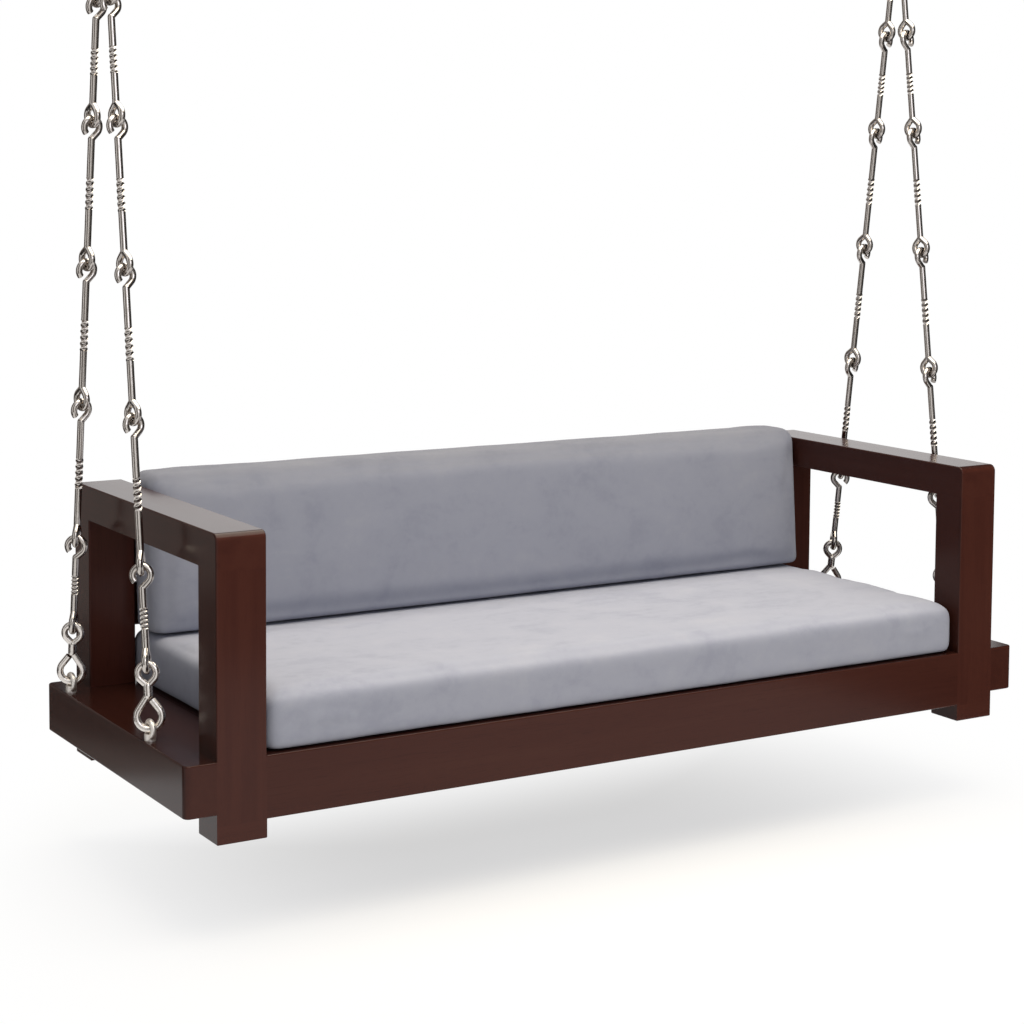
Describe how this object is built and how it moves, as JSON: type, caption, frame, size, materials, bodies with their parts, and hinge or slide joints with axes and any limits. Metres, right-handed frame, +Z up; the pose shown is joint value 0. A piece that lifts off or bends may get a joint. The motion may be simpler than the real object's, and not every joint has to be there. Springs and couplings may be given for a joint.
{
  "type": "hanging swing seat",
  "caption": "Hardwood hanging swing seat with square open arms, seat and back cushions, and hooked rod-link chains on ceiling hangers.",
  "frame": {"origin": "on the floor plane under the feet, at the middle of the seat in width and depth", "axes": "+X to the right and -Y to the front as seen by someone facing the seat, +Z up"},
  "size_m": [2, 0.7, 1.756],
  "materials": {
    "stained_wood": "satin",
    "cushion_fabric": "matte",
    "chain_steel": "polished",
    "hanger_steel": "satin"
  },
  "bodies": {
    "ceiling": {"left_ceiling_bracket": "hanger_steel", "right_ceiling_bracket": "hanger_steel", "left_swing_pin": "hanger_steel", "right_swing_pin": "hanger_steel"},
    "left_hanger_unit": {"left_hanger": "hanger_steel", "left_chain_pin": "hanger_steel"},
    "right_hanger_unit": {"right_hanger": "hanger_steel", "right_chain_pin": "hanger_steel"},
    "left_chains": {"front_left_hook": "chain_steel", "front_left_link_1": "chain_steel", "front_left_link_2": "chain_steel", "front_left_link_3": "chain_steel", "front_left_link_4": "chain_steel", "front_left_link_5": "chain_steel", "front_left_link_6": "chain_steel", "back_left_hook": "chain_steel", "back_left_link_1": "chain_steel", "back_left_link_2": "chain_steel", "back_left_link_3": "chain_steel", "back_left_link_4": "chain_steel", "back_left_link_5": "chain_steel", "back_left_link_6": "chain_steel"},
    "right_chains": {"front_right_hook": "chain_steel", "front_right_link_1": "chain_steel", "front_right_link_2": "chain_steel", "front_right_link_3": "chain_steel", "front_right_link_4": "chain_steel", "front_right_link_5": "chain_steel", "front_right_link_6": "chain_steel", "back_right_hook": "chain_steel", "back_right_link_1": "chain_steel", "back_right_link_2": "chain_steel", "back_right_link_3": "chain_steel", "back_right_link_4": "chain_steel", "back_right_link_5": "chain_steel", "back_right_link_6": "chain_steel"},
    "seat": {"front_rail": "stained_wood", "back_rail": "stained_wood", "left_end_board": "stained_wood", "right_end_board": "stained_wood", "left_side_rail": "stained_wood", "right_side_rail": "stained_wood", "left_arm_rest": "stained_wood", "right_arm_rest": "stained_wood", "front_left_post": "stained_wood", "back_left_post": "stained_wood", "front_right_post": "stained_wood", "back_right_post": "stained_wood", "corner_feet": "stained_wood", "seat_battens": "stained_wood", "seat_panel": "stained_wood", "back_boards": "stained_wood", "seat_cushion": "cushion_fabric", "back_cushion": "cushion_fabric", "front_left_eye_bolt": "chain_steel", "back_left_eye_bolt": "chain_steel", "front_right_eye_bolt": "chain_steel", "back_right_eye_bolt": "chain_steel", "bolt_washers": "chain_steel", "bolt_nuts": "chain_steel"}
  },
  "joints": [
    {"name": "swing_left", "type": "hinge", "parent": "ceiling", "child": "left_hanger_unit", "pos_m": [-0.945, 0.048, 1.71799], "axis": [1, 0, 0], "range_deg": [-25, 25]},
    {"name": "swing_right", "type": "hinge", "parent": "ceiling", "child": "right_hanger_unit", "pos_m": [0.945, 0.048, 1.71799], "axis": [1, 0, 0], "range_deg": [-25, 25]},
    {"name": "sway_left", "type": "hinge", "parent": "left_hanger_unit", "child": "left_chains", "pos_m": [-0.945, 0.048, 1.67299], "axis": [0, 1, 0], "range_deg": [-3, 3]},
    {"name": "sway_right", "type": "hinge", "parent": "right_hanger_unit", "child": "right_chains", "pos_m": [0.945, 0.048, 1.67299], "axis": [0, 1, 0], "range_deg": [-3, 3]},
    {"name": "seat_level", "type": "hinge", "parent": "left_chains", "child": "seat", "pos_m": [-0.945, 0.048, 0.18213], "axis": [0, 1, 0], "range_deg": [-3, 3]}
  ],
  "couplings": [
    {"joint": "swing_right", "follows": "swing_left", "ratio": 1},
    {"joint": "sway_right", "follows": "sway_left", "ratio": 1},
    {"joint": "seat_level", "follows": "sway_left", "ratio": -1}
  ]
}
